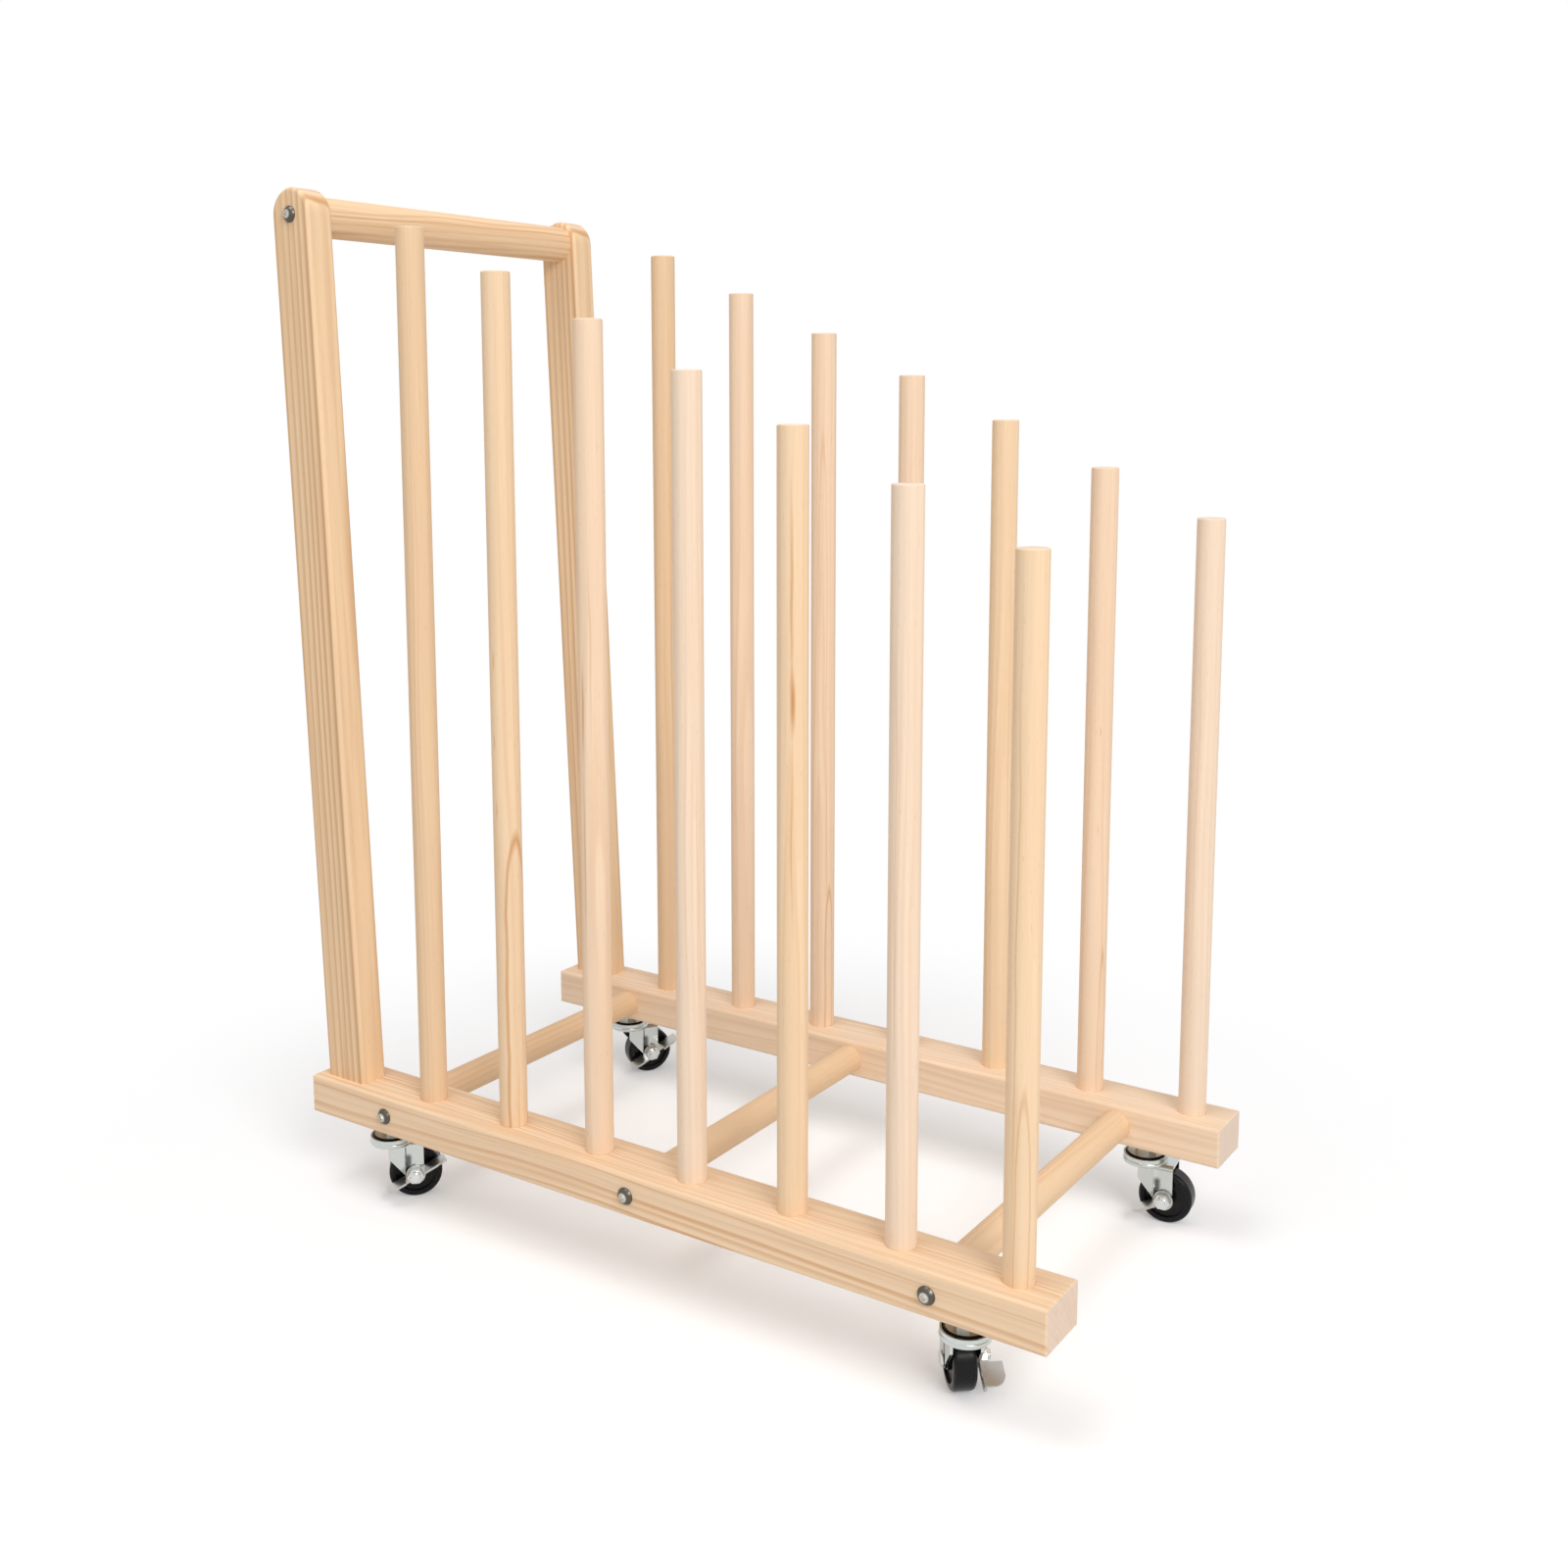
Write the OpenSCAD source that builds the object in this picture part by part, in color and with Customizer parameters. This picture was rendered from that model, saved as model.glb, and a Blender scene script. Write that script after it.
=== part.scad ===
// Art drying rack: two rails on four braked casters, joined by three dowels, with seven pairs of posts
// that step down from a handle with two leaning uprights. Millimetres, +Z up, standing on the floor at z = 0.
// X runs along the rails, with the handle at -X. The front rail is at -Y.

/* [Overall] */
// Height from the floor to the top of the handle uprights
rack_h = 723.9; // [705:0.1:760]
// Width over the outer faces of the two rails
rack_w = 317.5; // [290:0.5:360]

/* [Rails] */
// Length of a rail
rail_l = 590; // [580:1:640]
// Width of a rail, across the rack
rail_w = 42; // [38:0.5:48]
// Height of a rail
rail_h = 28; // [26:0.5:32]
// Rounding of the rail's long edges
rail_edge_r = 2.5; // [1:0.5:4]
// Rounding of the edges round the rail's ends
rail_end_r = 1.5; // [0.5:0.5:2.5]

/* [Posts] */
// Diameter of a post
post_d = 19; // [16:0.5:21]
// Distance from one post to the next along a rail
post_pitch = 76.5; // [70:0.5:79]
// Height of the tallest post above the rail
post_tall = 607; // [560:1:612]
// How much lower each next post is
post_step = 32; // [20:0.5:36]
// Depth of a post in its socket
post_seat = 20; // [14:0.5:21]
// Easing of a post's top edge
post_ease = 1; // [0.5:0.25:2]

/* [Stretchers] */
// Diameter of the dowels between the rails
stretcher_d = 21; // [18:0.5:22]
// Distance of the end stretchers from the rail's ends
stretcher_inset = 75; // [73:0.5:82]
// Depth of a stretcher's end in its seat
stretcher_seat = 6; // [4:0.5:8]

/* [Handle] */
// Width of an upright, along the rail
upright_w = 37; // [32:0.5:40]
// Thickness of an upright, across the rack
upright_t = 22; // [18:0.5:24]
// How far an upright's outer face stands back from the rail's
upright_inset = 8; // [5:0.5:10]
// Lean of the uprights away from the posts, in degrees
upright_lean = 2.4; // [0:0.1:3]
// Rounding of an upright's edges
upright_edge_r = 3; // [1:0.5:5]
// Diameter of the handle bar
bar_d = 28; // [22:0.5:30]

/* [Fasteners] */
// Thread diameter of the furniture bolts
bolt_d = 6; // [5:0.5:6.5]
// Diameter of their domed heads
bolt_head_d = 11.5; // [10:0.5:12.5]
// Height of their heads
bolt_head_h = 3.3; // [2.5:0.1:3.5]
// Length of a bolt inside its insert nut
thread_reach = 15; // [10:0.5:17]
// Outer diameter of the insert nuts in the dowels
insert_d = 10; // [9:0.5:12]
// Length of the insert nuts in the dowels
insert_l = 18; // [18:0.5:22]

/* [Casters] */
// Height from the floor to the underside of the rails
caster_h = 57; // [56.5:0.5:62]
// Distance of a caster's stem from the rail's end
caster_inset = 60; // [56:0.5:63]
// Diameter of a wheel
wheel_d = 38; // [34:0.5:39]
// Width of a wheel's tread
wheel_w = 14.5; // [12:0.5:17]
// Distance of the axle behind the stem
caster_trail = 16; // [14:0.5:18]
// Radius of the fork's cup
cup_r = 16; // [15.5:0.25:18]
// Thickness of the fork's sheet steel
fork_t = 2; // [1.5:0.1:2.5]
// Diameter of the axle bolt
axle_d = 6; // [5:0.5:6.5]
// Diameter of the threaded stem
stem_d = 8; // [6:0.5:9]
// Length of the stem inside the rail
stem_l = 16; // [12:0.5:18]

/* [Casters at rest] */
// Trail direction of the front caster at the handle end, in degrees from +X
swivel_front_left = 45; // [0:1:359]
// Trail direction of the back caster at the handle end
swivel_back_left = 57; // [0:1:90]
// Trail direction of the front caster at the low end
swivel_front_right = 131; // [0:1:180]
// Trail direction of the back caster at the low end
swivel_back_right = 7; // [0:1:90]

/* [Hidden] */
$fn = 48;
cut = 1;
pine = "#e9c79c";
pine_pale = "#eecfa6";
nickel = "#b9b6ae";
zinc = "#cfd3d2";
insert_zinc = "#a9a8a2";
black_plastic = "#17171a";
bearing_steel = "#8e9194";

// Clearances
wood_gap = 0.1;
running_gap = 0.05;
face_gap = 0.3;

// Posts: a row of eight places along each rail, the first taken by the upright
post_count = 7;
post_names = [for (i = [1 : post_count]) str(i)];
function station_x(i) = (i - post_count / 2) * post_pitch;
function post_h(i) = post_tall - (i - 1) * post_step;

// Heights
rail_top = caster_h + rail_h;
bolt_z = caster_h + rail_h / 2;

// Places across the rack, as distances from its middle
rail_mid_y = rack_w / 2 - rail_w / 2;
rail_inner_y = rack_w / 2 - rail_w;
upright_outer_y = rack_w / 2 - upright_inset;
upright_inner_y = upright_outer_y - upright_t;
upright_mid_y = upright_outer_y - upright_t / 2;

// Uprights
upright_x = station_x(0);
arc_h = rack_h - rail_top - upright_w / 2;
arc_x = upright_x - arc_h * tan(upright_lean);
arc_z = rail_top + arc_h;
upright_l = arc_h / cos(upright_lean);
tenon_t = upright_t / 2;
tenon_w_share = 2 / 3;
tenon_w = upright_w * tenon_w_share;
tenon_l = 18;

// Furniture bolts
bolt_hole_gap = 0.3;
bolt_socket_af = 4;
bolt_socket_share = 0.65;
bolt_socket_deep = bolt_head_h * bolt_socket_share;
bolt_socket_wall = 0.6;
bolt_flat_r = bolt_socket_af / 2 + bolt_socket_wall;
bolt_rim_h = 0.5;
// The head's dome is part of a sphere that joins its straight rim to the flat round its socket
bolt_dome_z = (pow(bolt_flat_r, 2) + pow(bolt_head_h, 2) - pow(bolt_head_d / 2, 2) - pow(bolt_rim_h, 2))
    / (2 * (bolt_head_h - bolt_rim_h));
bolt_dome_r = norm([bolt_flat_r, bolt_head_h - bolt_dome_z]);
insert_flange_w = 1.5;
insert_flange_d = insert_d + 2 * insert_flange_w;
insert_flange_t = 1;

// Stretchers
stretcher_xs = [-rail_l / 2 + stretcher_inset, 0, rail_l / 2 - stretcher_inset];
stretcher_names = ["left", "middle", "right"];
stretcher_end_y = rail_inner_y + stretcher_seat;
rail_bolt_l = rail_w - stretcher_seat + thread_reach;
handle_bolt_l = upright_t + thread_reach;

// Caster stem, race and ball ring, from the rail downwards
stem_neck_h = 9;
stem_neck_af = 13;
stem_insert_wall = 2;
stem_insert_d = stem_d + 2 * stem_insert_wall;
stem_tip_gap = 2;
stem_insert_l = stem_l + stem_tip_gap;
race_side_gap = 0.6;
race_r = cup_r - fork_t - race_side_gap;
race_t = 3.5;
race_edge_r = 1.2;
race_gap = 1.2;
ball_d = 4;
ball_count = 10;
ball_ring_in = 3.4;
ball_ring_r = race_r - ball_ring_in;
race_top_z = caster_h - stem_neck_h;
race_under_z = race_top_z - race_t;
ball_z = race_under_z - race_gap / 2;
kingpin_r = 4;
rivet_r = 5.5;
rivet_t = 1.5;

// Fork: a cup round the race, and a sheet bent down into two legs, with a crease along each leg
wheel_r = wheel_d / 2;
crown_top_z = race_under_z - race_gap;
crown_z = crown_top_z - fork_t;
cup_band_h = 3.4;
cup_edge_r = 1.4;
cup_step = 0.5;
cup_rim_drop = 1;
cup_rim_z = race_top_z - cup_rim_drop;
hub_proud = 0.8;
hub_half = wheel_w / 2 + hub_proud;
leg_in = hub_half + face_gap;
leg_out = leg_in + fork_t;
fork_bend_r = 1.5;
boss_wall = 3;
boss_r = axle_d / 2 + boss_wall;
leg_front_x = -3;
leg_knee_drop = 9.5;
leg_knee_z = crown_z - leg_knee_drop;
leg_back_x = caster_trail + boss_r;
crease_ahead = 5;
crease_x = caster_trail - crease_ahead;
crease_r = 3.4;
crease_deep = 0.8;

// Wheel
wheel_edge_r = 2.6;
wheel_rim_t = 4.5;
wheel_hub_r = 7;
wheel_dish = 1.6;
sleeve_wall = 1;
sleeve_r = axle_d / 2 + sleeve_wall;

// Brake lever: a bar through a hub on the axle, with a foot wing turned outwards at its lower end, and on
// the casters at the handle end at its upper end too
lever_t = 1.5;
lever_in = leg_out + face_gap;
lever_out = lever_in + lever_t;
lever_hub_r = 7;
lever_arm_w = 6;
lever_low_l = 21.5;
lever_up_l = 24;
lever_tilt = 28;
// Each arm's length, turn about the axle and edge with the wing, and how many arms each corner's lever has
lever_arms = [[lever_low_l, 180, -1], [lever_up_l, 0, 1]];
lever_arm_counts = [2, 2, 1, 1];
wing_reach = 13.5;
wing_l = 15;
wing_corner_r = 7;

// Axle bolt, with a low round head, and its nut
nut_wall = 2;
nut_af = axle_d + 2 * nut_wall;
nut_h = 3.4;
nut_collar_share = 0.84;
nut_collar_d = nut_af * nut_collar_share;
nut_collar_h = 1.8;
nut_collar_edge_r = 1.1;
axle_head_r = 5;
axle_head_h = 1.4;
axle_head_edge_r = axle_head_h / 2;
axle_end = 0.8;
nut_in = lever_out + face_gap;
nut_out = nut_in + nut_h;

// Casters: corner names, corner signs and trail directions
corner_names = ["front_left", "back_left", "front_right", "back_right"];
corner_signs = [[-1, -1], [-1, 1], [1, -1], [1, 1]];
corner_swivels = [swivel_front_left, swivel_back_left, swivel_front_right, swivel_back_right];
caster_x = rail_l / 2 - caster_inset;

// The origin is under the middle of the whole rack, casters and leaning handle included
back_wheel_y = rail_mid_y + (caster_trail + wheel_r) * sin(swivel_back_left)
    + wheel_w / 2 * cos(swivel_back_left);
left_x = min(-rail_l / 2, arc_x - upright_w / 2);
bolts_y = rack_w / 2 + bolt_head_h;
back_y = max(bolts_y, back_wheel_y);
origin_shift = [-(left_x + rail_l / 2) / 2, -(back_y - bolts_y) / 2, 0];

caster_pieces = [
    "stem", "bearing_balls", "fork", "axle_bolt", "axle_nut", "axle_sleeve", "wheel", "brake_lever"
];

// Outline of a bar with round corners, centred
module round_corners(w, h, r) {
    square([w - 2 * r, h], center = true);
    square([w, h - 2 * r], center = true);
    for (x = [-1, 1])
        for (y = [-1, 1])
            translate([x * (w / 2 - r), y * (h / 2 - r)])
                circle(r = r);
}

// Solid of revolution on z = 0 with its top edge rounded
module round_topped(r, h, edge_r) {
    rotate_extrude() {
        square([r - edge_r, h]);
        square([r, h - edge_r]);
        translate([r - edge_r, h - edge_r])
            circle(r = edge_r);
    }
}

// Hexagonal prism with its flats that far apart
module hex_prism(across_flats, h) {
    cylinder(d = across_flats / cos(30), h = h, $fn = 6);
}

// Cylinder along +Y from y = 0
module along_y(d, l) {
    rotate([-90, 0, 0])
        cylinder(d = d, h = l);
}

// Sides of the rack: -1 is the front, 1 is the back
module on_side(side) {
    if (side < 0)
        children();
    else
        mirror([0, 1, 0])
            children();
}

// Front rail, built at -Y
module rail_blank() {
    translate([0, -rail_mid_y, bolt_z])
        intersection() {
            rotate([90, 0, 90])
                linear_extrude(height = rail_l, center = true)
                    round_corners(rail_w, rail_h, rail_edge_r);
            linear_extrude(height = rail_h + 2 * cut, center = true)
                round_corners(rail_l, rail_w, rail_end_r);
            rotate([90, 0, 0])
                linear_extrude(height = rail_w + 2 * cut, center = true)
                    round_corners(rail_l, rail_h, rail_end_r);
        }
}

// Slot with round ends for an upright's tenon, or the tenon itself
module tenon_outline(gap) {
    end_r = tenon_t / 2 + gap;
    square([tenon_w - tenon_t, 2 * end_r], center = true);
    for (x = [-1, 1])
        translate([x * (tenon_w - tenon_t) / 2, 0])
            circle(r = end_r);
}

module rail() {
    difference() {
        rail_blank();
        for (i = [1 : post_count])
            translate([station_x(i), -rail_mid_y, rail_top - post_seat])
                cylinder(d = post_d + 2 * wood_gap, h = post_seat + cut);
        translate([upright_x, -upright_mid_y, rail_top - tenon_l])
            linear_extrude(height = tenon_l + cut)
                tenon_outline(wood_gap);
        for (x = stretcher_xs)
            translate([x, -rack_w / 2, bolt_z]) {
                translate([0, -cut, 0])
                    along_y(bolt_d + 2 * bolt_hole_gap, rail_w + 2 * cut);
                translate([0, rail_w - stretcher_seat, 0])
                    along_y(stretcher_d + 2 * wood_gap, stretcher_seat + cut);
            }
        for (x = [-caster_x, caster_x])
            translate([x, -rail_mid_y, caster_h - cut])
                cylinder(d = stem_insert_d + 2 * wood_gap, h = stem_insert_l + cut);
    }
}

// Bore for an insert nut in the end of a dowel that starts at y = 0 and runs along +Y
module insert_bore() {
    translate([0, -cut, 0]) {
        along_y(insert_d + 2 * wood_gap, insert_l + cut);
        along_y(insert_flange_d + 2 * wood_gap, insert_flange_t + cut);
    }
}

// Dowel along Y with an insert bore in each end, centred on y = 0
module bored_dowel(d, l) {
    difference() {
        translate([0, -l / 2, 0])
            along_y(d, l);
        for (side = [-1, 1])
            on_side(side)
                translate([0, -l / 2, 0])
                    insert_bore();
    }
}

module stretcher(i) {
    translate([stretcher_xs[i], 0, bolt_z])
        bored_dowel(stretcher_d, 2 * stretcher_end_y);
}

module handle_bar() {
    translate([arc_x, 0, arc_z])
        bored_dowel(bar_d, 2 * upright_inner_y);
}

// Front upright: a leaning board with a half-round top, eased all round, and a tenon below
module upright() {
    difference() {
        translate([upright_x, -upright_mid_y, rail_top])
            difference() {
                rotate([0, -upright_lean, 0]) {
                    translate([0, 0, -upright_t])
                        linear_extrude(height = upright_l + upright_t)
                            round_corners(upright_w, upright_t, upright_edge_r);
                    translate([0, 0, upright_l])
                        rotate([90, 0, 0])
                            rotate_extrude(angle = 180)
                                intersection() {
                                    round_corners(upright_w, upright_t, upright_edge_r);
                                    translate([0, -upright_t / 2])
                                        square([upright_w, upright_t]);
                                }
                }
                translate([-upright_w, -upright_t, -2 * upright_t])
                    cube([2 * upright_w, 2 * upright_t, 2 * upright_t]);
            }
        translate([arc_x, -upright_outer_y - cut, arc_z])
            along_y(bolt_d + 2 * bolt_hole_gap, upright_t + 2 * cut);
    }
    translate([upright_x, -upright_mid_y, rail_top - tenon_l])
        linear_extrude(height = tenon_l)
            tenon_outline(0);
}

// Post in the front rail, with its top edge eased
module post(i) {
    translate([station_x(i), -rail_mid_y, rail_top - post_seat])
        round_topped(post_d / 2, post_h(i) + post_seat, post_ease);
}

// Domed head of a furniture bolt, from z = 0 upwards
module bolt_head() {
    rotate_extrude()
        intersection() {
            square([bolt_head_d / 2, bolt_head_h]);
            translate([0, bolt_dome_z])
                circle(r = bolt_dome_r);
        }
}

// Furniture bolt along +Y, with the underside of its head at y = 0
module furniture_bolt(l) {
    difference() {
        union() {
            along_y(bolt_d, l);
            rotate([90, 0, 0])
                bolt_head();
        }
        translate([0, -bolt_head_h - cut, 0])
            rotate([-90, 0, 0])
                hex_prism(bolt_socket_af, bolt_socket_deep + cut);
    }
}

module rail_bolts() {
    for (side = [-1, 1])
        on_side(side)
            for (x = stretcher_xs)
                translate([x, -rack_w / 2, bolt_z])
                    furniture_bolt(rail_bolt_l);
}

module handle_bolts() {
    for (side = [-1, 1])
        on_side(side)
            translate([arc_x, -upright_outer_y, arc_z])
                furniture_bolt(handle_bolt_l);
}

// Flanged insert nut along +Y, its flange flush with the dowel's end at y = 0
module insert_nut() {
    difference() {
        union() {
            along_y(insert_d, insert_l);
            along_y(insert_flange_d, insert_flange_t);
        }
        translate([0, -cut, 0])
            along_y(bolt_d + 2 * running_gap, insert_l + 2 * cut);
    }
}

module dowel_inserts() {
    for (side = [-1, 1])
        on_side(side) {
            for (x = stretcher_xs)
                translate([x, -stretcher_end_y, bolt_z])
                    insert_nut();
            translate([arc_x, -upright_inner_y, arc_z])
                insert_nut();
        }
}

module caster_inserts() {
    for (s = corner_signs)
        translate([s[0] * caster_x, s[1] * rail_mid_y, caster_h])
            difference() {
                cylinder(d = stem_insert_d, h = stem_insert_l);
                translate([0, 0, -cut])
                    cylinder(d = stem_d + 2 * running_gap, h = stem_insert_l + 2 * cut);
            }
}

// A caster's own frame: the stem on the Z axis, the axle behind it at +X, the brake lever at -Y
module at_corner(c) {
    translate([corner_signs[c][0] * caster_x, corner_signs[c][1] * rail_mid_y, 0])
        rotate([0, 0, corner_swivels[c]])
            children();
}

module at_axle() {
    translate([caster_trail, 0, wheel_r])
        children();
}

// Ring that the balls run in, cut into both races
module ball_groove() {
    translate([0, 0, ball_z])
        rotate_extrude()
            translate([ball_ring_r, 0])
                circle(d = ball_d + 2 * running_gap);
}

module stem() {
    translate([0, 0, caster_h])
        cylinder(d = stem_d, h = stem_l);
    translate([0, 0, race_top_z])
        hex_prism(stem_neck_af, stem_neck_h);
    difference() {
        translate([0, 0, race_under_z])
            round_topped(race_r, race_t, race_edge_r);
        ball_groove();
    }
    translate([0, 0, crown_z - face_gap])
        cylinder(r = kingpin_r, h = race_under_z - crown_z + face_gap);
    translate([0, 0, crown_z - face_gap - rivet_t])
        cylinder(r = rivet_r, h = rivet_t);
}

module bearing_balls() {
    for (i = [0 : ball_count - 1])
        rotate([0, 0, i * 360 / ball_count])
            translate([ball_ring_r, 0, ball_z])
                sphere(d = ball_d);
}

// Where a straight edge from p touches a circle at c, passing on its right
function tangent_point(p, c, r) =
    let (d = norm(c - p), a = atan2(c[1] - p[1], c[0] - p[0]) - asin(r / d))
    p + sqrt(d * d - r * r) * [cos(a), sin(a)];

// Side view of a fork leg: upright at the back, cut away at the front, round at the axle
module leg_outline() {
    axle = [caster_trail, wheel_r];
    knee = [leg_front_x, leg_knee_z];
    difference() {
        union() {
            polygon([
                [leg_front_x, crown_top_z],
                knee,
                tangent_point(knee, axle, boss_r),
                axle,
                [leg_back_x, wheel_r],
                [leg_back_x, crown_top_z]
            ]);
            translate(axle)
                circle(r = boss_r);
        }
        translate(axle)
            circle(d = axle_d + 2 * running_gap);
    }
}

// Half section of the cup: a bulging band below, a thinner rim above
module cup_profile() {
    rim_h = cup_rim_z - crown_z;
    difference() {
        translate([0, crown_z]) {
            square([cup_r - cup_step, rim_h]);
            square([cup_r - cup_edge_r, cup_band_h]);
            translate([0, cup_edge_r])
                square([cup_r, cup_band_h - 2 * cup_edge_r]);
            for (z = [cup_edge_r, cup_band_h - cup_edge_r])
                translate([cup_r - cup_edge_r, z])
                    circle(r = cup_edge_r);
        }
        translate([0, crown_top_z])
            square([cup_r - fork_t, rim_h]);
    }
}

// Upright outline on z = 0 with its top corners rounded
module arch(w, h, r) {
    translate([-w / 2, 0])
        square([w, h - r]);
    translate([-w / 2 + r, 0])
        square([w - 2 * r, h]);
    for (side = [-1, 1])
        translate([side * (w / 2 - r), h - r])
            circle(r = r);
}

// Both legs and the plate between them: one sheet bent to a U, cut to the legs' side view
module bent_sheet() {
    intersection() {
        translate([leg_front_x, 0, 0])
            rotate([90, 0, 90])
                linear_extrude(height = leg_back_x - leg_front_x)
                    difference() {
                        arch(2 * leg_out, crown_top_z, fork_bend_r + fork_t);
                        arch(2 * leg_in, crown_z, fork_bend_r);
                    }
        rotate([90, 0, 0])
            linear_extrude(height = 2 * (leg_out + cut), center = true)
                leg_outline();
    }
}

module fork() {
    difference() {
        union() {
            rotate_extrude()
                cup_profile();
            difference() {
                bent_sheet();
                translate([0, 0, crown_top_z])
                    cylinder(r = cup_r - fork_t, h = race_t);
            }
        }
        translate([0, 0, crown_z - cut])
            cylinder(r = kingpin_r + running_gap, h = fork_t + 2 * cut);
        ball_groove();
        for (side = [-1, 1])
            translate([crease_x, side * (leg_out + crease_r - crease_deep), 0])
                cylinder(r = crease_r, h = crown_z - fork_bend_r);
    }
}

module wheel_profile() {
    difference() {
        union() {
            intersection() {
                round_corners(wheel_d, wheel_w, wheel_edge_r);
                translate([0, -wheel_w / 2])
                    square([wheel_d, wheel_w]);
            }
            translate([0, -hub_half])
                square([wheel_hub_r, 2 * hub_half]);
        }
        for (y = [-1, 1])
            mirror([0, y > 0 ? 1 : 0])
                translate([wheel_hub_r, -wheel_w / 2 - cut])
                    square([wheel_r - wheel_rim_t - wheel_hub_r, wheel_dish + cut]);
        translate([0, -hub_half - cut])
            square([sleeve_r + running_gap, 2 * (hub_half + cut)]);
    }
}

module wheel() {
    at_axle()
        rotate([90, 0, 0])
            rotate_extrude()
                wheel_profile();
}

module axle_sleeve() {
    at_axle()
        translate([0, -leg_in, 0])
            difference() {
                along_y(2 * sleeve_r, 2 * leg_in);
                translate([0, -cut, 0])
                    along_y(axle_d + 2 * running_gap, 2 * (leg_in + cut));
            }
}

module axle_bolt() {
    at_axle() {
        translate([0, -nut_out - nut_collar_h - axle_end, 0])
            along_y(axle_d, leg_out + nut_out + nut_collar_h + axle_end);
        translate([0, leg_out, 0])
            rotate([-90, 0, 0])
                round_topped(axle_head_r, axle_head_h, axle_head_edge_r);
    }
}

// Lock nut with a rounded collar
module axle_nut() {
    at_axle()
        translate([0, -nut_in, 0])
            rotate([90, 0, 0])
                difference() {
                    union() {
                        hex_prism(nut_af, nut_h);
                        round_topped(nut_collar_d / 2, nut_h + nut_collar_h, nut_collar_edge_r);
                    }
                    translate([0, 0, -cut])
                        cylinder(d = axle_d + 2 * running_gap, h = nut_h + nut_collar_h + 2 * cut);
                }
}

// Foot wing along +X, its outer corner at the free end well rounded
module wing_outline() {
    square([wing_l - wing_corner_r, wing_reach]);
    square([wing_l, wing_reach - wing_corner_r]);
    translate([wing_l - wing_corner_r, wing_reach - wing_corner_r])
        circle(r = wing_corner_r);
}

// Turns its children to lie along an arm of the lever, as +X from the axle
module on_arm(arm) {
    rotate([0, 0, arm[1] + lever_tilt])
        children();
}

// Flat bar of the lever with its hub and the bore for the axle
module lever_outline(arms) {
    difference() {
        union() {
            circle(r = lever_hub_r);
            for (arm = arms)
                on_arm(arm)
                    translate([0, -lever_arm_w / 2])
                        square([arm[0], lever_arm_w]);
        }
        circle(d = axle_d + 2 * running_gap);
    }
}

module brake_lever(arm_count) {
    arms = [for (i = [0 : arm_count - 1]) lever_arms[i]];
    at_axle()
        translate([0, -lever_in, 0])
            rotate([90, 0, 0]) {
                linear_extrude(height = lever_t)
                    lever_outline(arms);
                for (arm = arms)
                    on_arm(arm)
                        translate([arm[0] - wing_l, arm[2] * (lever_arm_w - lever_t) / 2, 0])
                            rotate([90, 0, 0])
                                linear_extrude(height = lever_t, center = true)
                                    wing_outline();
            }
}

translate(origin_shift) {
    color(pine) rail();  // front_rail
    color(pine) on_side(1) rail();  // back_rail
    for (i = [0 : len(stretcher_xs) - 1])
        color(pine) stretcher(i);
    color(pine) upright();  // front_upright
    color(pine) on_side(1) upright();  // back_upright
    color(pine) handle_bar();
    for (i = [1 : post_count]) {
        color(pine_pale) post(i);
        color(pine_pale) on_side(1) post(i);
    }
    color(nickel) rail_bolts();
    color(nickel) handle_bolts();
    color(insert_zinc) dowel_inserts();
    color(insert_zinc) caster_inserts();
    for (c = [0 : len(corner_names) - 1])
        at_corner(c) {
            color(zinc) stem();
            color(bearing_steel) bearing_balls();
            color(zinc) fork();
            color(zinc) axle_bolt();
            color(zinc) axle_nut();
            color(zinc) axle_sleeve();
            color(black_plastic) wheel();
            color(zinc) brake_lever(lever_arm_counts[c]);
        }
}
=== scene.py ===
import bpy
from math import atan2, cos, pi, radians, sin
from mathutils import Euler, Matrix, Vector

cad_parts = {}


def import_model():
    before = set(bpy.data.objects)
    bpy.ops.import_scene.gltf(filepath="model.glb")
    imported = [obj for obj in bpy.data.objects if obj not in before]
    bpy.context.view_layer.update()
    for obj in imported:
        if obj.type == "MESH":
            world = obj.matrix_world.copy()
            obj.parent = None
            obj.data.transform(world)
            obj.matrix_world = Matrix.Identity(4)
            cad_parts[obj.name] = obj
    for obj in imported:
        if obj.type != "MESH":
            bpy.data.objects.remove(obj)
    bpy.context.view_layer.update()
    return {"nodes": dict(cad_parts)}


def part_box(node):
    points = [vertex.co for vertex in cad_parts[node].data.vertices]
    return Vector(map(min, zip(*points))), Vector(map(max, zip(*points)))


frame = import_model()
nodes = frame["nodes"]

MM = 0.001
CORNERS = ("front_left", "back_left", "front_right", "back_right")
SIDES = ("front", "back")

# Turns that lay the fibres along the rails, across the rack or upright
ALONG_X = (0.0, pi / 2, 0.0)
ALONG_Y = (-pi / 2, 0.0, 0.0)
ALONG_Z = (0.0, 0.0, 0.0)


# Colours and nodes

def linear(hex_colour):
    """An sRGB hex colour as the linear RGBA that the shaders take."""
    channels = [int(hex_colour[i : i + 2], 16) / 255 for i in (1, 3, 5)]
    return (*(c / 12.92 if c <= 0.04045 else ((c + 0.055) / 1.055) ** 2.4 for c in channels), 1.0)


def plug(tree, node, inputs):
    """Fills a node's inputs. A socket is linked, a node by its first output in use, and a value is set."""
    for key, value in inputs.items():
        if isinstance(value, bpy.types.Node):
            value = next(socket for socket in value.outputs if socket.enabled)
        if isinstance(value, bpy.types.NodeSocket):
            tree.links.new(value, node.inputs[key])
        else:
            node.inputs[key].default_value = value


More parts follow.
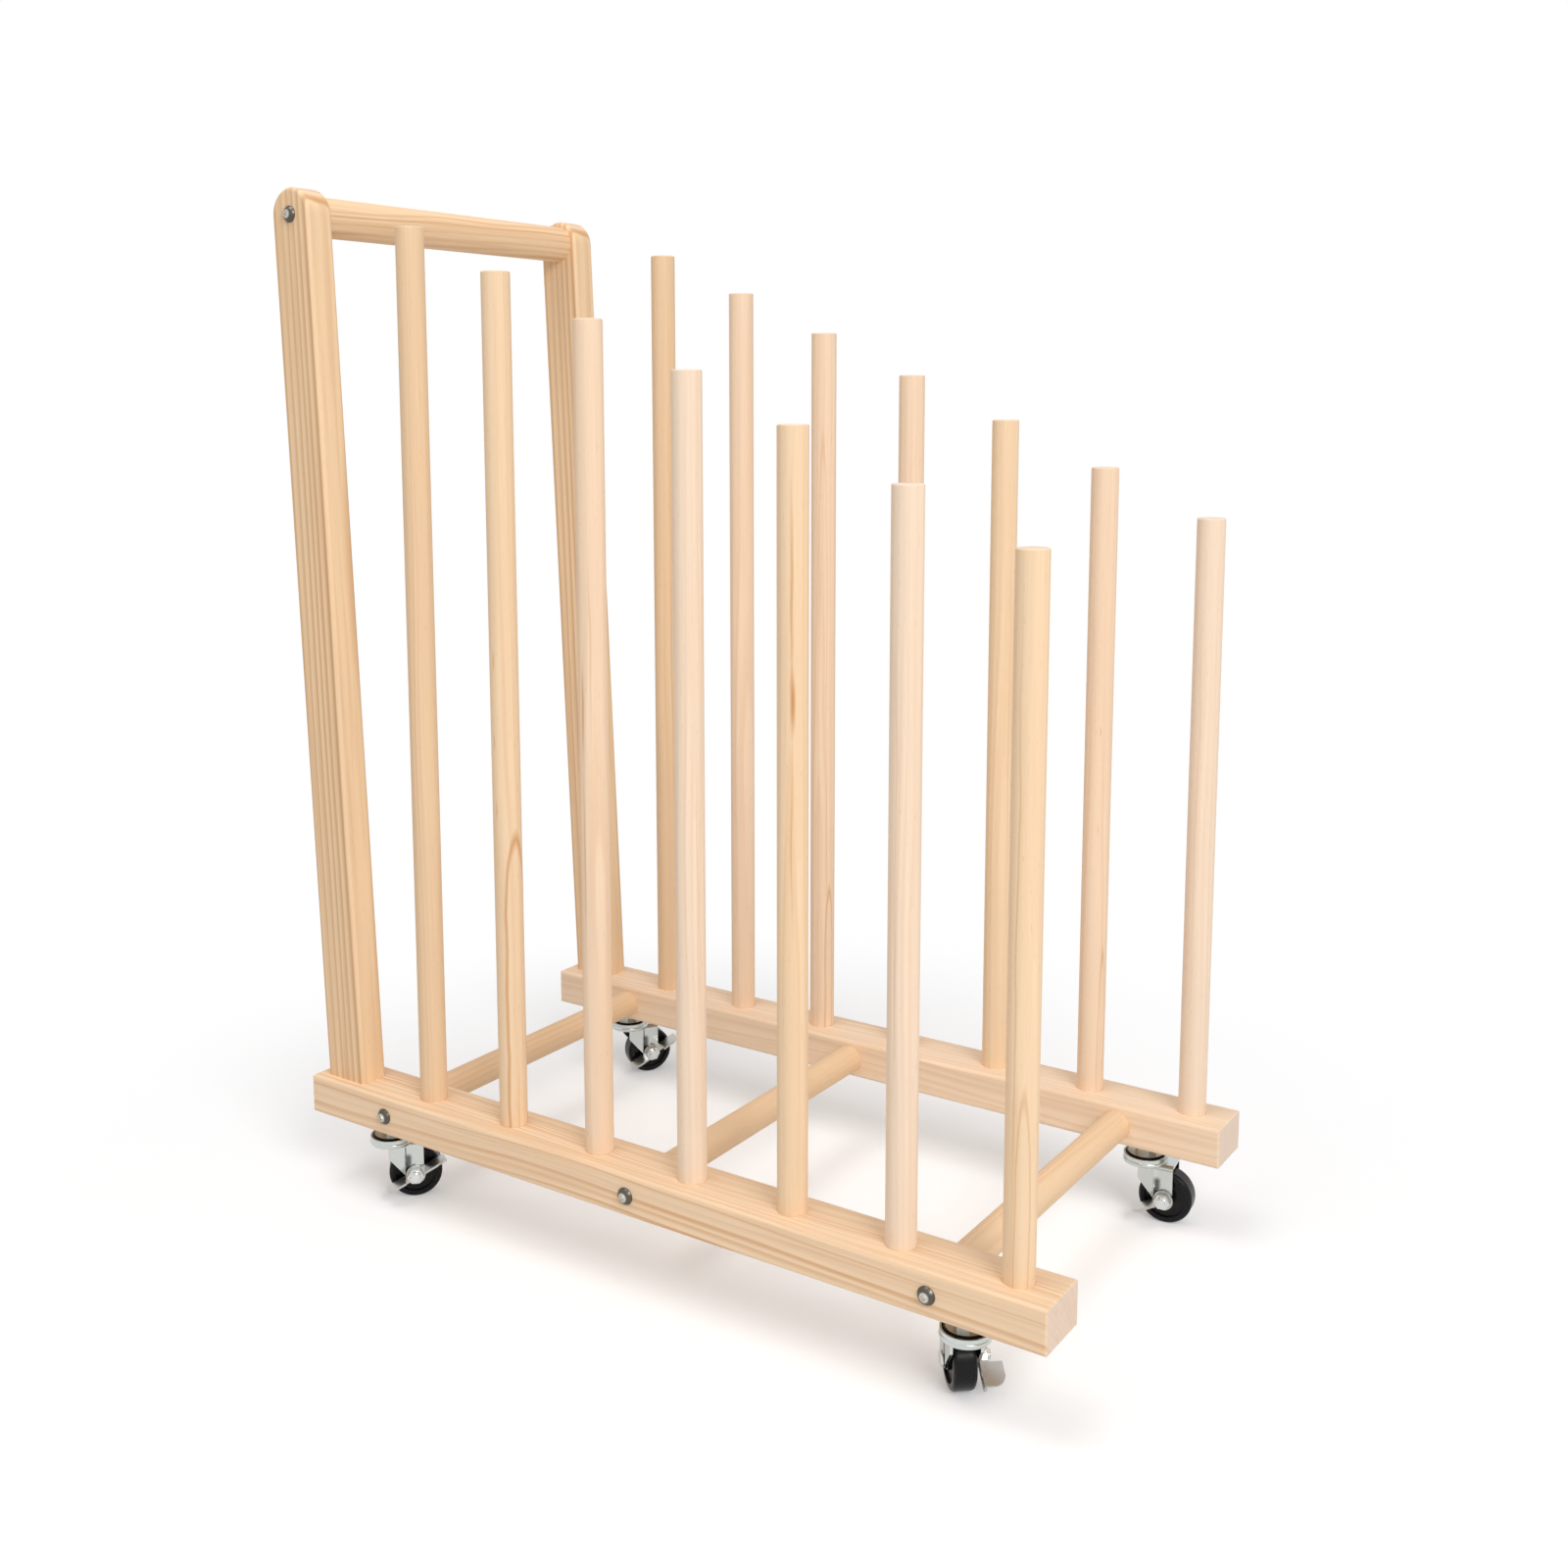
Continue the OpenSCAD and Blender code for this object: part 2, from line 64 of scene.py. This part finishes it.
def add(tree, kind, inputs=None, **settings):
    """Adds a shader node with its settings and inputs."""
    node = tree.nodes.new("ShaderNode" + kind)
    for name, value in settings.items():
        setattr(node, name, value)
    plug(tree, node, inputs or {})
    return node


def new_material(name):
    """A material with a bare Principled shader, its tree and that shader."""
    material = bpy.data.materials.new(name)
    material.use_nodes = True
    tree = material.node_tree
    return material, tree, tree.nodes["Principled BSDF"]


def dress(node_names, material):
    for name in node_names:
        for slot in nodes[name].material_slots:
            slot.material = material


def centre(name):
    lo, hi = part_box(name)
    return (lo + hi) / 2


def millimetres(tree, middle, turn=(0.0, 0.0, 0.0)):
    """Places on a piece, in millimetres from its middle and along its own turned directions."""
    return add(tree, "Mapping", {
        "Vector": add(tree, "TexCoord").outputs["Object"], "Location": middle, "Rotation": turn,
        "Scale": (MM, MM, MM)
    }, vector_type="TEXTURE")


# Wood, with places in millimetres and Z along the fibres

def streaks(tree, mm, across, along, detail=2.0):
    """Clouds drawn out by the fibres: so many millimetres across them and so many along them."""
    drawn = add(tree, "VectorMath", {0: mm, 1: (1 / across, 1 / across, 1 / along)}, operation="MULTIPLY")
    return add(tree, "TexNoise", {"Vector": drawn, "Scale": 1.0, "Detail": detail})


def late_wood(tree, mm, pith, ring, wander, even):
    """How much late wood shows: soft lines where the growth rings meet the surface.

    The rings lie round the pith and stray along the tree. The less even they are, the more they differ in
    width and in depth of colour."""
    strayed = mm
    slow, quick = (90.0, 420.0, 16.0), (18.0, 130.0, 2.4)
    for across, along, reach in (slow, quick):
        clouds = streaks(tree, mm, across, along, 1.0).outputs["Color"]
        aside = add(tree, "VectorMath", {0: clouds, 1: (0.5, 0.5, 0.5)}, operation="SUBTRACT")
        sideways = (reach * wander, reach * wander, 0.0)
        strayed = add(tree, "VectorMath", {0: aside, 1: sideways, 2: strayed}, operation="MULTIPLY_ADD")
    from_pith = add(tree, "VectorMath", {0: strayed, 1: (*pith, 0.0)}, operation="SUBTRACT")
    flat = add(tree, "VectorMath", {0: from_pith, 1: (1.0, 1.0, 0.0)}, operation="MULTIPLY")
    radius = add(tree, "VectorMath", {0: flat}, operation="LENGTH")

    # Good and bad years move the rings in and out, by up to shift rings
    years = add(tree, "Math", {0: radius, 1: 0.3 / ring}, operation="MULTIPLY")
    weather = add(tree, "TexNoise", {"W": years, "Scale": 1.0, "Detail": 2.0}, noise_dimensions="1D")
    shift = 3.2 - 2.4 * even
    counted = add(tree, "Math", {0: radius, 1: ring}, operation="DIVIDE")
    rings = add(tree, "Math", {0: weather, 1: shift, 2: counted}, operation="MULTIPLY_ADD")

    # Each ring darkens slowly outwards, ends sharply and has its own depth, which fades along the tree
    darkening = add(tree, "ValToRGB", {"Fac": add(tree, "Math", {0: rings}, operation="FRACT")})
    ramp = darkening.color_ramp
    ramp.interpolation = "EASE"
    ramp.elements[0].color = linear("#000000")
    ramp.elements[0].position = 0.15
    ramp.elements[1].color = linear("#FFFFFF")
    ramp.elements[1].position = 0.78
    ramp.elements.new(1.0).color = linear("#000000")
    least = 0.45 * even
    number = add(tree, "Math", {0: rings}, operation="FLOOR")
    chance = add(tree, "TexWhiteNoise", {"W": number}, noise_dimensions="1D")
    depth = add(tree, "MapRange", {"Value": chance, "To Min": 0.15 + least})
    fade = add(tree, "MapRange", {
        "Value": streaks(tree, mm, 26.0, 230.0), "From Min": 0.35, "From Max": 0.65, "To Min": 0.35 + least
    })
    deepened = add(tree, "Math", {0: darkening, 1: depth}, operation="MULTIPLY")
    return add(tree, "Math", {0: deepened, 1: fade}, operation="MULTIPLY")


def grain_mark(tree, mm, height, half_length, half_width, facing, depth, arch=False):
    """How much a dark streak shows, or the outline of a grain arch, on one side of a piece.

    The side lies so many radians round from +X. The lengths are in millimetres."""
    out = (cos(facing), sin(facing), 0.0)
    across = (-sin(facing) / half_width, cos(facing) / half_width, 0.0)
    along = (0.0, 0.0, 1.0 / half_length)
    bend = 3.0
    line_at, line_width = 0.9, 0.14
    bent = add(tree, "Math", {
        0: streaks(tree, mm, 30.0, 60.0), 1: bend / half_width, 2: -bend / 2 / half_width
    }, operation="MULTIPLY_ADD")
    sideways = add(tree, "VectorMath", {0: mm, 1: across}, operation="DOT_PRODUCT")
    sideways = add(tree, "Math", {0: sideways, 1: bent}, operation="ADD")
    upwards = add(tree, "VectorMath", {0: mm, 1: along}, operation="DOT_PRODUCT")
    upwards = add(tree, "Math", {0: upwards, 1: height / half_length}, operation="SUBTRACT")
    if arch:
        upwards = add(tree, "Math", {0: upwards, 1: 0.0}, operation="MAXIMUM")
    reach = add(tree, "CombineXYZ", {"X": sideways, "Y": upwards})
    reach = add(tree, "VectorMath", {0: reach}, operation="LENGTH")

    # An arch is a thin line inside its own edge, and a streak is darkest in its middle quarter
    if arch:
        off_line = add(tree, "Math", {0: reach, 1: line_at}, operation="SUBTRACT")
        off_line = add(tree, "Math", {0: off_line}, operation="ABSOLUTE")
        shade = add(tree, "MapRange", {
            "Value": off_line, "From Max": line_width, "To Min": depth, "To Max": 0.0
        })
    else:
        shade = add(tree, "MapRange", {"Value": reach, "From Min": 0.25, "To Min": depth, "To Max": 0.0})
    outwards = add(tree, "VectorMath", {0: mm, 1: out}, operation="DOT_PRODUCT")
    on_side = add(tree, "Math", {0: outwards, 1: 0.0}, operation="GREATER_THAN")
    return add(tree, "Math", {0: shade, 1: on_side}, operation="MULTIPLY")


def planed_pine(name, middle, fibres, pith, ring, tone, streak=0.5, wander=1.0, even=0.0, marks=()):
    """Planed or turned pine, clear sealed and matt. The eye sees pale early wood, soft tan late-wood lines
    that run along the piece or draw out into arches, finer fibre streaks, and a greyer, pinker sawn end.

    tone is the early and late wood's colours, pith the place of the tree's heart beside the piece and ring
    the mean width of a ring, both in millimetres. streak says how dark the late wood is, wander how far the
    rings stray, and even, up to 1, how much alike they are."""
    early, late = tone
    resin, dark_grain, sawn = "#B98A5C", "#CE9152", "#E6D2C6"
    material, tree, shader = new_material(name)
    mm = millimetres(tree, middle, fibres)
    late_share = late_wood(tree, mm, pith, ring, wander, even)
    late_share = add(tree, "Math", {0: late_share, 1: streak}, operation="MULTIPLY")

    # Bands of darker growth, and short dark resin canals, drawn wider than real so that they show
    bands = add(tree, "MapRange", {
        "Value": streaks(tree, mm, 5.0, 210.0), "From Min": 0.48, "From Max": 0.72, "To Max": 0.4 * streak
    })
    darker = add(tree, "Math", {0: late_share, 1: bands}, operation="MAXIMUM")
    canals = add(tree, "MapRange", {
        "Value": streaks(tree, mm, 0.7, 9.0, 1.0), "From Min": 0.68, "From Max": 0.76, "To Max": 0.2
    })
    colour = add(tree, "Mix", {"Factor": darker, "A": linear(early), "B": linear(late)}, data_type="RGBA")
    colour = add(tree, "Mix", {"Factor": canals, "A": colour, "B": linear(resin)}, data_type="RGBA")
    for values in marks:
        colour = add(tree, "Mix", {
            "Factor": grain_mark(tree, mm, *values), "A": colour, "B": linear(dark_grain)
        }, data_type="RGBA")

    # Fibres, drawn 0.6 mm wide so that they show, and slow drifts of tone
    fibre = streaks(tree, mm, 0.6, 45.0, 3.0)
    fibre_tone = add(tree, "MapRange", {
        "Value": fibre, "From Min": 0.25, "From Max": 0.75, "To Min": 0.965, "To Max": 1.03
    })
    drift_tone = add(tree, "MapRange", {
        "Value": streaks(tree, mm, 24.0, 190.0), "From Min": 0.3, "From Max": 0.7, "To Min": 0.965,
        "To Max": 1.025
    })
    tones = add(tree, "Math", {0: fibre_tone, 1: drift_tone}, operation="MULTIPLY")
    colour = add(tree, "VectorMath", {0: colour, "Scale": tones}, operation="SCALE")

    # A sawn end shows the fibres' open ends
    end_way = Euler(fibres).to_matrix() @ Vector((0.0, 0.0, 1.0))
    facing = add(tree, "VectorMath", {
        0: add(tree, "TexCoord").outputs["Normal"], 1: end_way
    }, operation="DOT_PRODUCT")
    facing = add(tree, "Math", {0: facing}, operation="ABSOLUTE")
    end = add(tree, "MapRange", {"Value": facing, "From Min": 0.7, "From Max": 0.95, "To Max": 0.55})
    colour = add(tree, "Mix", {"Factor": end, "A": colour, "B": linear(sawn)}, data_type="RGBA")

    # Sealed wood is matt, a little smoother on the dense late wood, and its fibres stand just proud
    rough = add(tree, "MapRange", {"Value": late_share, "To Min": 0.62, "To Max": 0.52})
    relief = add(tree, "Math", {0: late_share, 1: 0.6, 2: fibre}, operation="MULTIPLY_ADD")
    bump = add(tree, "Bump", {"Height": relief, "Strength": 0.3, "Distance": 0.05 * MM})
    plug(tree, shader, {"Base Color": colour, "Roughness": rough, "IOR": 1.47, "Normal": bump})
    return material


# The pieces come from different trees. Each tone is the colour of early wood and that of late wood.
STRAW = ("#F8D9B4", "#E0AE78")
HONEY = ("#F1CFA8", "#D9A672")
BLUSH = ("#F9DCBE", "#E4B386")
CREAM = ("#F9E1C8", "#E6BA90")
RIPE = ("#F9DAB7", "#D2985E")
PALE = ("#FADFC2", "#E0B182")
AMBER = ("#F8D6AD", "#CA9059")
CARAMEL = ("#F7D6AE", "#CB8A4E")


def dress_rails():
    """Long wavy lines run down the rails' sides. The back rail is the paler one."""
    rails = (("front", (46.0, -62.0), RIPE, 0.85), ("back", (52.0, 70.0), PALE, 0.7))
    for side, pith, tone, streak in rails:
        name = f"{side}_rail"
        dress([name], planed_pine(
            f"pine, planed, {side} rail", centre(name), ALONG_X, pith, ring=3.6,
            tone=tone, streak=streak, wander=1.5, even=0.3))


def dress_uprights():
    """Boards sawn across the rings, so their broad faces show straight stripes."""
    lean = (0.0, radians(-2.4), 0.0)
    for side in SIDES:
        name = f"{side}_upright"
        dress([name], planed_pine(
            f"pine, planed, {side} upright", centre(name), lean, pith=(-190.7, 24.0), ring=5.6,
            tone=AMBER, streak=0.9, wander=0.35, even=0.8))


def dress_crosspieces():
    """Turned dowels across the rack. The handle bar has fewer, darker and more wandering lines."""
    for place, pith in (("left", (20.0, 24.0)), ("middle", (-26.0, 20.0)), ("right", (30.0, -18.0))):
        name = f"stretcher_{place}"
        dress([name], planed_pine(
            f"pine, turned, {place} stretcher", centre(name), ALONG_Y, pith, ring=3.8,
            tone=HONEY, streak=0.4))
    dress(["handle_bar"], planed_pine(
        "pine, turned, handle bar", centre("handle_bar"), ALONG_Y, pith=(15.0, -27.0), ring=5.2,
        tone=CARAMEL, streak=0.9, wander=2.6))


def dress_posts():
    """Each post has its tone and its own marks: height above its middle, half length and half width in
    millimetres, the side, depth of colour, and True for an arch. The sides are as the camera sees them."""
    left, right, far_right, middle = radians(-95), radians(-25), radians(-14), radians(-60)
    fronts = [
        (HONEY, ()),
        (STRAW, ((-130.0, 60.0, 8.0, far_right, 0.75, True), (-290.0, 90.0, 1.2, right, 0.3),
                 (45.0, 9.0, 1.0, left, 0.5), (-10.0, 7.0, 1.0, left, 0.45),
                 (-56.0, 8.0, 1.0, left, 0.45))),
        (BLUSH, ((35.0, 40.0, 1.3, left, 0.7), (75.0, 70.0, 0.9, middle, 0.35),
                 (-60.0, 70.0, 1.0, left, 0.45))),
        (CREAM, ((-60.0, 150.0, 0.8, right, 0.2),)),
        (STRAW, ((88.0, 24.0, 2.2, middle, 0.9), (150.0, 80.0, 1.3, middle, 0.6),
                 (10.0, 70.0, 0.9, middle, 0.45))),
        (CREAM, ((20.0, 200.0, 0.8, left, 0.25),)),
        (STRAW, ((10.0, 230.0, 0.9, left, 0.4), (-150.0, 70.0, 4.6, middle, 0.4, True))),
    ]
    backs = [
        (HONEY, ((40.0, 240.0, 1.0, right, 0.3),)),
        (BLUSH, ()),
        (BLUSH, ((90.0, 120.0, 3.4, middle, 0.3, True), (-205.0, 60.0, 3.6, right, 0.6, True))),
        (BLUSH, ((150.0, 60.0, 1.0, middle, 0.3),)),
        (STRAW, ((20.0, 180.0, 0.8, right, 0.25),)),
        (BLUSH, ((50.0, 5.0, 0.7, middle, 0.4), (-20.0, 6.0, 0.6, middle, 0.35),
                 (-175.0, 70.0, 3.0, right, 0.5, True))),
        (CREAM, ((30.0, 150.0, 0.8, left, 0.2),)),
    ]
    for side, posts in (("front", fronts), ("back", backs)):
        for i, (tone, marks) in enumerate(posts):
            name = f"post_{side}_{i + 1}"

            # The tree's heart lies on another side of each post, and a little further away each time
            heart_side = 1.3 * i if side == "front" else 2.1 * i + 0.8
            heart_away = 20.0 + 3.0 * i
            pith = (heart_away * cos(heart_side), heart_away * sin(heart_side))
            dress([name], planed_pine(
                f"pine, turned, {side} post {i + 1}", centre(name), ALONG_Z, pith, ring=3.9,
                tone=tone, streak=0.5, marks=marks))


# Metals and plastic

def fittings_metal(name, colour, rough, uneven=0.06, patch_mm=3.0):
    """Metal of the bolts, inserts and casters: an even skin whose gloss wanders over a few millimetres."""
    material, tree, shader = new_material(name)
    place = add(tree, "TexCoord").outputs["Object"]
    patches = add(tree, "TexNoise", {"Vector": place, "Scale": 1 / (patch_mm * MM), "Detail": 2.0})
    gloss = add(tree, "MapRange", {
        "Value": patches, "From Min": 0.3, "From Max": 0.7,
        "To Min": rough - uneven / 2, "To Max": rough + uneven
    })
    plug(tree, shader, {"Base Color": linear(colour), "Metallic": 1.0, "Roughness": gloss})
    return material, tree, shader


def bolt_nickel(name, middle, step):
    """Nickel-plated steel bolts: the dome painted dark grey as painted shade of dark reflections, with a
    painted highlight round the socket.

    One material serves every bolt of a node. They stand a step apart, in millimetres, along the rack."""
    # The dome's dark grey is painted shade, and the pale grey round each socket is a painted highlight
    shaded_dome, socket_highlight = "#5E5A52", "#E2DED6"
    material, tree, shader = fittings_metal(name, shaded_dome, 0.3)
    apart = add(tree, "SeparateXYZ", {0: millimetres(tree, middle)})
    across = add(tree, "Math", {0: apart.outputs["X"], 1: -step / 2, 2: step / 2}, operation="WRAP")
    from_axis = add(tree, "CombineXYZ", {"X": across, "Z": apart.outputs["Z"]})
    from_axis = add(tree, "VectorMath", {0: from_axis}, operation="LENGTH")
    # Painted highlight: the socket's surround turns pale grey, the rest of the dome stays painted dark
    highlight_share = add(tree, "MapRange", {
        "Value": from_axis, "From Min": 2.1, "From Max": 3.4, "To Min": 1.0, "To Max": 0.0
    })
    colour = add(tree, "Mix", {
        "Factor": highlight_share, "A": linear(shaded_dome), "B": linear(socket_highlight)
    }, data_type="RGBA")
    plug(tree, shader, {"Base Color": colour})
    return material


def off_axis(tree, axis):
    """The distance from an upright axis, in millimetres."""
    mm = millimetres(tree, (axis.x, axis.y, 0.0))
    flat = add(tree, "VectorMath", {0: mm, 1: (1.0, 1.0, 0.0)}, operation="MULTIPLY")
    return add(tree, "VectorMath", {0: flat}, operation="LENGTH")


def race_zinc(corner):
    """Bright zinc-plated steel race, with a black ring of painted shade round its rim, where it turns in
    the fork's cup.
    """
    zinc, gap_shade = "#C9CCC8", "#1A1918"
    material, tree, shader = fittings_metal(f"steel, bright zinc plated, {corner} race", zinc, 0.2)
    # Painted shade: a black ring round the race's rim, as the shadow in the gap to the cup
    gap_shade_share = add(tree, "MapRange", {
        "Value": off_axis(tree, centre(f"stem_{corner}")), "From Min": 12.1, "From Max": 12.6
    })
    colour = add(tree, "Mix", {"Factor": gap_shade_share, "A": linear(zinc), "B": linear(gap_shade)}, data_type="RGBA")
    plug(tree, shader, {"Base Color": colour})
    return material


def fork_zinc(corner):
    """Bright zinc-plated sheet steel, pressed. It mirrors the room, and painted shade darkens the legs'
    creases and the inside of the cup."""
    zinc, painted_shade = "#C6CCCA", "#3A3B3B"
    material, tree, shader = fittings_metal(f"steel, bright zinc plated, {corner} fork", zinc, 0.17)
    stem, axle = centre(f"stem_{corner}"), centre(f"axle_sleeve_{corner}")
    trail = axle - stem
    mm = millimetres(tree, (axle.x, axle.y, 0.0), (0.0, 0.0, atan2(trail.y, trail.x)))
    apart = add(tree, "SeparateXYZ", {0: mm})

    # Painted shade runs down a crease in each leg, 5 mm from the axle towards the stem, up to the bend
    # below the cup
    crease_x, leg_y, bend_z, bend_h = -5.0, 8.0, 35.0, 3.0
    off_crease = add(tree, "Math", {0: apart.outputs["X"], 1: crease_x}, operation="SUBTRACT")
    off_crease = add(tree, "Math", {0: off_crease}, operation="ABSOLUTE")
    creased = add(tree, "MapRange", {
        "Value": off_crease, "From Min": 1.0, "From Max": 3.2, "To Min": 1.0, "To Max": 0.0
    })
    sideways = add(tree, "Math", {0: apart.outputs["Y"]}, operation="ABSOLUTE")
    on_leg = add(tree, "Math", {0: sideways, 1: leg_y}, operation="GREATER_THAN")
    below = add(tree, "MapRange", {
        "Value": apart.outputs["Z"], "From Min": bend_z - bend_h, "From Max": bend_z,
        "To Min": 0.85, "To Max": 0.0
    })
    creased = add(tree, "Math", {0: creased, 1: on_leg}, operation="MULTIPLY")
    creased = add(tree, "Math", {0: creased, 1: below}, operation="MULTIPLY")

    # Painted shade on the cup's inner wall, which has a radius of 14 mm
    cup_z = 42.0
    inside = add(tree, "MapRange", {
        "Value": off_axis(tree, stem), "From Min": 14.1, "From Max": 14.5, "To Min": 1.0, "To Max": 0.0
    })
    in_cup = add(tree, "Math", {0: apart.outputs["Z"], 1: cup_z}, operation="GREATER_THAN")
    lined = add(tree, "Math", {0: inside, 1: in_cup}, operation="MULTIPLY")
    shade_share = add(tree, "Math", {0: creased, 1: lined}, operation="MAXIMUM")
    # Painted shade: the creases and the cup's inner wall turn dark grey
    colour = add(tree, "Mix", {"Factor": shade_share, "A": linear(zinc), "B": linear(painted_shade)}, data_type="RGBA")
    plug(tree, shader, {"Base Color": colour})
    return material


def moulded_polypropylene():
    """Black polypropylene, injection moulded: deep black with a soft waxy gloss and a faint grain."""
    cloud_mm, grain_mm = 7.0, 0.4
    material, tree, shader = new_material("black polypropylene, moulded")
    place = add(tree, "TexCoord").outputs["Object"]
    cloud = add(tree, "TexNoise", {"Vector": place, "Scale": 1 / (cloud_mm * MM), "Detail": 3.0})
    grain = add(tree, "TexNoise", {"Vector": place, "Scale": 1 / (grain_mm * MM), "Detail": 2.0})
    colour = add(tree, "Mix", {
        "Factor": cloud, "A": linear("#070708"), "B": linear("#101011")
    }, data_type="RGBA")
    rough = add(tree, "MapRange", {
        "Value": cloud, "From Min": 0.3, "From Max": 0.7, "To Min": 0.22, "To Max": 0.34
    })
    bump = add(tree, "Bump", {"Height": grain, "Strength": 0.15, "Distance": 0.02 * MM})
    plug(tree, shader, {
        "Base Color": colour, "Roughness": rough, "IOR": 1.49, "Specular IOR Level": 0.22, "Normal": bump
    })
    return material


def dress_bolts():
    # Bolts stand 220 mm apart along a rail. The handle's two share one axis, so any long step serves them
    bolt_steps = {"rail_bolts": 220.0, "handle_bolts": 1000.0}
    for name, step in bolt_steps.items():
        dress([name], bolt_nickel(f"steel, nickel plated, {name.replace('_', ' ')}", centre(name), step))

    # The inserts keep their skin from the mould, which is a dull grey
    dress(["dowel_inserts", "caster_inserts"], fittings_metal("zinc alloy, die cast", "#A9A8A2", 0.42)[0])


def dress_casters():
    # The axles' turned parts are the smoothest and brightest zinc
    axle_zinc = fittings_metal("steel, bright zinc plated", "#D6DAD9", 0.16)[0]

    # Brushing under the nickel makes the levers warmer and duller than the zinc
    brushed_nickel = fittings_metal("steel, nickel plated, brushed", "#BDBBB6", 0.27, 0.04, 8.0)[0]

    # Ground and hardened balls are small dark mirrors, out of sight between race and cup
    ground_steel = fittings_metal("steel, ground balls", "#8E9194", 0.1)[0]
    black_plastic = moulded_polypropylene()
    for corner in CORNERS:
        dress([f"stem_{corner}"], race_zinc(corner))
        dress([f"fork_{corner}"], fork_zinc(corner))
        dress([f"axle_{part}_{corner}" for part in ("bolt", "nut", "sleeve")], axle_zinc)
        dress([f"brake_lever_{corner}"], brushed_nickel)
        dress([f"bearing_balls_{corner}"], ground_steel)
        dress([f"wheel_{corner}"], black_plastic)


# Floor, light and camera

def seen_directly(tree):
    """1 for what the camera or shiny metal sees, and 0 for light that bounces off."""
    path = add(tree, "LightPath")
    return add(tree, "Math", {
        0: path.outputs["Is Camera Ray"], 1: path.outputs["Is Glossy Ray"]
    }, operation="MAXIMUM")


def stage():
    """White floor that keeps the rack's shadow. Far from the rack it turns into plain white backdrop."""
    half, fade_start, fade_end = 30.0, 0.31, 0.66
    mesh = bpy.data.meshes.new("floor")
    corners = [(-half, -half, 0.0), (half, -half, 0.0), (half, half, 0.0), (-half, half, 0.0)]
    mesh.from_pydata(corners, [], [(0, 1, 2, 3)])
    floor = bpy.data.objects.new("floor", mesh)
    bpy.context.scene.collection.objects.link(floor)
    material, tree, shader = new_material("white floor")
    tree.nodes.remove(shader)

    # Light bounces off white paint. The camera and metal see it lifted to white, and then the backdrop
    painted = add(tree, "BsdfDiffuse", {"Color": linear("#E7E7E7")})
    matt = add(tree, "BsdfDiffuse", {"Color": linear("#EDEDEE")})
    glow = add(tree, "Emission", {"Color": linear("#FFFFFF"), "Strength": 0.25})
    lifted = add(tree, "AddShader", {0: matt, 1: glow})
    backdrop = add(tree, "Emission", {"Color": linear("#FFFFFF"), "Strength": 1.0})
    place = add(tree, "TexCoord").outputs["Object"]
    away = add(tree, "VectorMath", {0: place}, operation="LENGTH")
    far = add(tree, "MapRange", {
        "Value": away, "From Min": fade_start, "From Max": fade_end
    }, interpolation_type="SMOOTHSTEP")
    shown = add(tree, "MixShader", {0: far, 1: lifted, 2: backdrop})
    surface = add(tree, "MixShader", {0: seen_directly(tree), 1: painted, 2: shown})
    out = next(n for n in tree.nodes if n.type == "OUTPUT_MATERIAL")
    plug(tree, out, {"Surface": surface})
    mesh.materials.append(material)


def world():
    """White room. It lights the rack softly, and shows as plain white to the camera and in metal."""
    sky = bpy.data.worlds.new("white studio")
    bpy.context.scene.world = sky
    sky.use_nodes = True
    tree = sky.node_tree
    strength = add(tree, "MapRange", {"Value": seen_directly(tree), "To Min": 0.45, "To Max": 1.0})
    plug(tree, tree.nodes["Background"], {"Color": linear("#FFFFFF"), "Strength": strength})


def softbox(name, place, target, size, power):
    lamp = bpy.data.lights.new(name, "AREA")
    lamp.size = size
    lamp.energy = power
    box = bpy.data.objects.new(name, lamp)
    box.location = place
    box.rotation_euler = (Vector(target) - Vector(place)).to_track_quat("-Z", "Y").to_euler()
    bpy.context.scene.collection.objects.link(box)


def lights():
    softbox("key softbox", (2.1, -1.3, 1.9), (0.0, 0.0, 0.3), size=1.3, power=42.0)
    softbox("top softbox", (-0.3, -0.6, 2.5), (0.0, 0.0, 0.0), size=1.1, power=15.5)


def camera():
    """The photograph's viewpoint and lens. The camera looks down a little, so its frame is shifted less."""
    heading, dip = radians(33.62), radians(7.63)
    lens = bpy.data.cameras.new("camera")
    lens.sensor_width = 36.0
    lens.lens = 38.81
    lens.shift_y = -0.10
    eye = bpy.data.objects.new("camera", lens)
    eye.location = (0.6626, -0.9626, 0.5774)
    eye.rotation_euler = (pi / 2 - dip, 0.0, heading)
    bpy.context.scene.collection.objects.link(eye)
    bpy.context.scene.camera = eye


camera()
dress_rails()
dress_uprights()
dress_crosspieces()
dress_posts()
dress_bolts()
dress_casters()
stage()
world()
lights()
bpy.context.scene.view_settings.view_transform = "Standard"
